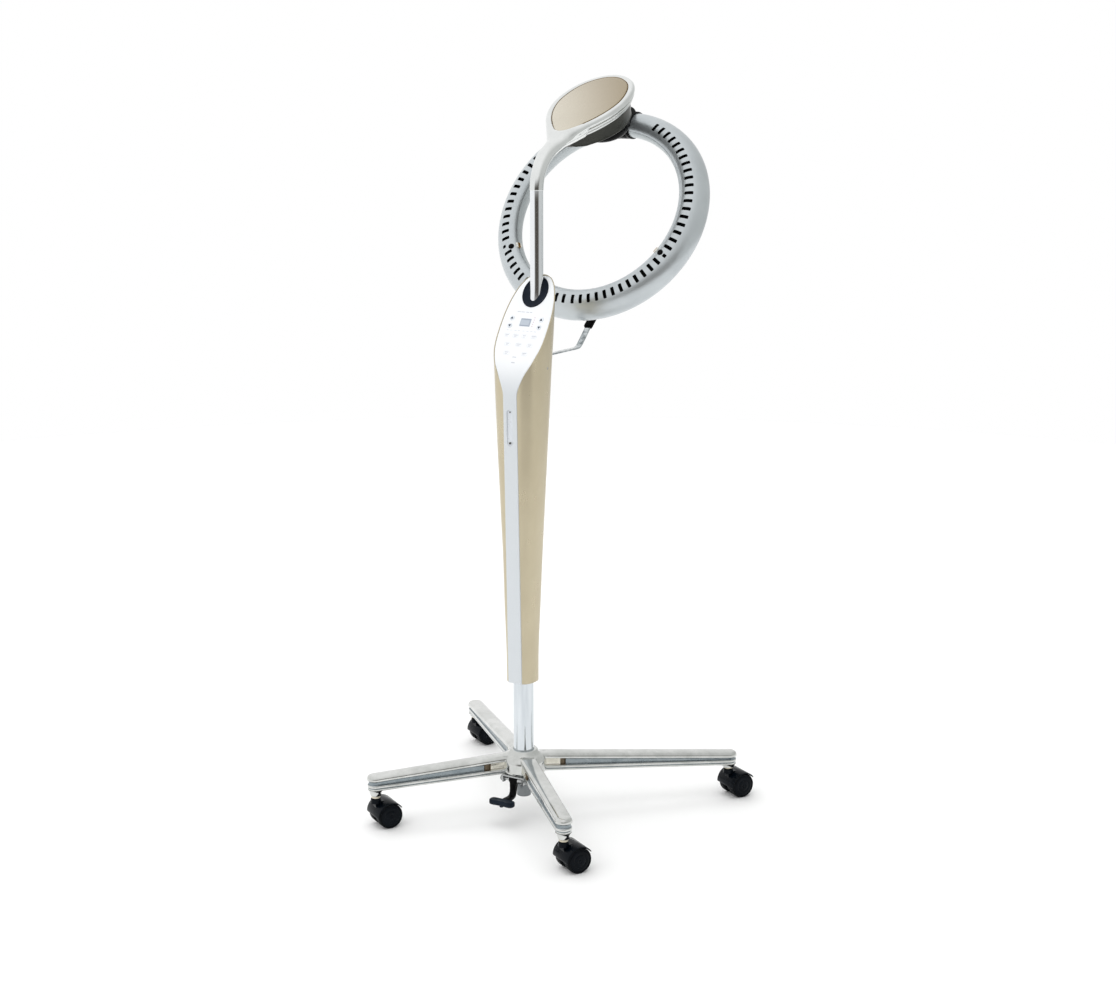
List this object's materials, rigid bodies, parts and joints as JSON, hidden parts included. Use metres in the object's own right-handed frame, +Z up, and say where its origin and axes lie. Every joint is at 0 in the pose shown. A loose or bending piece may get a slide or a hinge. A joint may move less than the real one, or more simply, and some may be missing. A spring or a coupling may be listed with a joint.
{
  "type": "hair color processor",
  "caption": "Ring-type hair color processor on a telescopic column with caster base, foot pedal lift, sloping control panel and a heat ring that orbits under the head.",
  "frame": {"origin": "on the floor, on the axis of the column", "axes": "+Z up along the column; -Y towards the operator (control panel, foot pedal); +Y towards the client; +X to the operator's right"},
  "size_m": [0.684, 0.6617, 1.4269],
  "materials": {
    "polished_casting": "polished die casting",
    "collar_brass": "pale brass",
    "chrome_tube": "mirror chrome",
    "grey_plastic": "grey moulding",
    "black_steel": "black lacquered",
    "white_nylon": "nylon",
    "zinc_steel": "zinc plated",
    "black_paint": "black painted",
    "black_rubber": "rubber",
    "spring_steel": "plain steel",
    "champagne": "champagne metallic lacquer",
    "champagne_rear": "champagne metallic lacquer",
    "panel_white": "silver white lacquer",
    "lamp_lens": "translucent grey",
    "display_glass": "display window",
    "board_green": "circuit board",
    "cast_grey": "as cast",
    "satin_casting": "satin silver",
    "champagne_inlay": "champagne lacquer",
    "gold_trim": "gold brown edge",
    "charcoal": "charcoal moulding",
    "black_plastic": "black moulding",
    "ring_silver": "silver grey lacquer",
    "ring_silver_rear": "silver grey lacquer",
    "heater_sheath": "sheathed heater",
    "bright_aluminium": "bright sheet",
    "key_white": "key cap",
    "caster_tyre": "hard black tyre",
    "caster_black": "black nylon"
  },
  "bodies": {
    "base": {"base_casting": "polished_casting", "caster_collars": "collar_brass", "post_tube": "chrome_tube", "spring_cup": "grey_plastic", "gas_spring_body": "black_steel", "pedal_bracket": "zinc_steel", "pedal_bolt": "chrome_tube", "pedal_spring": "spring_steel"},
    "pedal": {"pedal_lever": "black_paint", "pedal_pad": "black_rubber"},
    "column": {"column_cover": "champagne", "rear_cover": "champagne_rear", "front_fascia": "panel_white", "status_lamp": "lamp_lens", "display_window": "display_glass", "lcd_module": "board_green", "control_board": "board_green", "power_supply": "zinc_steel", "lift_crosshead": "cast_grey", "guide_bushes": "white_nylon", "gas_spring_rod": "chrome_tube", "arm_socket": "cast_grey", "arm_tube": "chrome_tube", "grommet": "black_rubber", "head_casting": "satin_casting", "inlay_plate": "champagne_inlay", "inlay_trim": "gold_trim", "lower_housing": "charcoal", "gear_motor": "zinc_steel", "head_bearings": "spring_steel", "distance_bracket": "chrome_tube", "bracket_sleeve": "black_rubber", "mains_inlet": "black_plastic", "mains_switch_frame": "black_plastic", "cover_screws": "spring_steel"},
    "ring": {"drive_shaft": "spring_steel", "ring_carrier": "black_plastic", "ring_front_shell": "ring_silver", "ring_rear_shell": "ring_silver_rear", "heater_element": "heater_sheath", "reflector": "bright_aluminium", "ring_sensors": "black_plastic"},
    "rocker": {"mains_rocker": "black_plastic"},
    "key_up_l": {"key_up_l": "key_white"},
    "key_down_l": {"key_down_l": "key_white"},
    "key_up_r": {"key_up_r": "key_white"},
    "key_down_r": {"key_down_r": "key_white"},
    "swivel_fl": {"caster_hood_fl": "caster_black", "caster_steel_fl": "spring_steel"},
    "wheels_fl": {"caster_wheels_fl": "caster_tyre"},
    "swivel_fr": {"caster_hood_fr": "caster_black", "caster_steel_fr": "spring_steel"},
    "wheels_fr": {"caster_wheels_fr": "caster_tyre"},
    "swivel_rl": {"caster_hood_rl": "caster_black", "caster_steel_rl": "spring_steel"},
    "wheels_rl": {"caster_wheels_rl": "caster_tyre"},
    "swivel_rr": {"caster_hood_rr": "caster_black", "caster_steel_rr": "spring_steel"},
    "wheels_rr": {"caster_wheels_rr": "caster_tyre"}
  },
  "joints": [
    {"name": "column_lift", "type": "slide", "parent": "base", "child": "column", "axis": [0, 0, 1], "range_m": [-0.12, 0.13]},
    {"name": "ring_orbit", "type": "hinge", "parent": "column", "child": "ring", "pos_m": [0, 0.28636, 1.39578], "axis": [0, -0.4384, 0.8988], "continuous": true},
    {"name": "pedal_hinge", "type": "hinge", "parent": "base", "child": "pedal", "pos_m": [0, -0.036, 0.082], "axis": [1, 0, 0], "range_deg": [0, 12], "stiffness_Nm_per_rad": 1.2, "springref_deg": -8.59},
    {"name": "rocker_hinge", "type": "hinge", "parent": "column", "child": "rocker", "pos_m": [0, 0.0459, 0.819], "axis": [0, 0, 1], "range_deg": [-4, 4]},
    {"name": "key_up_l_press", "type": "slide", "parent": "column", "child": "key_up_l", "axis": [0, 0.829, -0.5592], "range_m": [0, 0.0006], "stiffness_N_per_m": 600, "springref_m": -0.0002},
    {"name": "key_down_l_press", "type": "slide", "parent": "column", "child": "key_down_l", "axis": [0, 0.829, -0.5592], "range_m": [0, 0.0006], "stiffness_N_per_m": 600, "springref_m": -0.0002},
    {"name": "key_up_r_press", "type": "slide", "parent": "column", "child": "key_up_r", "axis": [0, 0.829, -0.5592], "range_m": [0, 0.0006], "stiffness_N_per_m": 600, "springref_m": -0.0002},
    {"name": "key_down_r_press", "type": "slide", "parent": "column", "child": "key_down_r", "axis": [0, 0.829, -0.5592], "range_m": [0, 0.0006], "stiffness_N_per_m": 600, "springref_m": -0.0002},
    {"name": "swivel_fl", "type": "hinge", "parent": "base", "child": "swivel_fl", "pos_m": [-0.2115, -0.2042, 0.06], "axis": [0, 0, 1], "continuous": true},
    {"name": "roll_fl", "type": "hinge", "parent": "swivel_fl", "child": "wheels_fl", "pos_m": [-0.2012, -0.1865, 0.025], "axis": [-0.8643, 0.503, 0], "continuous": true},
    {"name": "swivel_fr", "type": "hinge", "parent": "base", "child": "swivel_fr", "pos_m": [0.2115, -0.2042, 0.06], "axis": [0, 0, 1], "continuous": true},
    {"name": "roll_fr", "type": "hinge", "parent": "swivel_fr", "child": "wheels_fr", "pos_m": [0.2218, -0.1865, 0.025], "axis": [-0.8643, 0.503, 0], "continuous": true},
    {"name": "swivel_rl", "type": "hinge", "parent": "base", "child": "swivel_rl", "pos_m": [-0.3043, 0.2938, 0.06], "axis": [0, 0, 1], "continuous": true},
    {"name": "roll_rl", "type": "hinge", "parent": "swivel_rl", "child": "wheels_rl", "pos_m": [-0.294, 0.3115, 0.025], "axis": [-0.8643, 0.503, 0], "continuous": true},
    {"name": "swivel_rr", "type": "hinge", "parent": "base", "child": "swivel_rr", "pos_m": [0.3043, 0.2938, 0.06], "axis": [0, 0, 1], "continuous": true},
    {"name": "roll_rr", "type": "hinge", "parent": "swivel_rr", "child": "wheels_rr", "pos_m": [0.3146, 0.3115, 0.025], "axis": [-0.8643, 0.503, 0], "continuous": true}
  ]
}
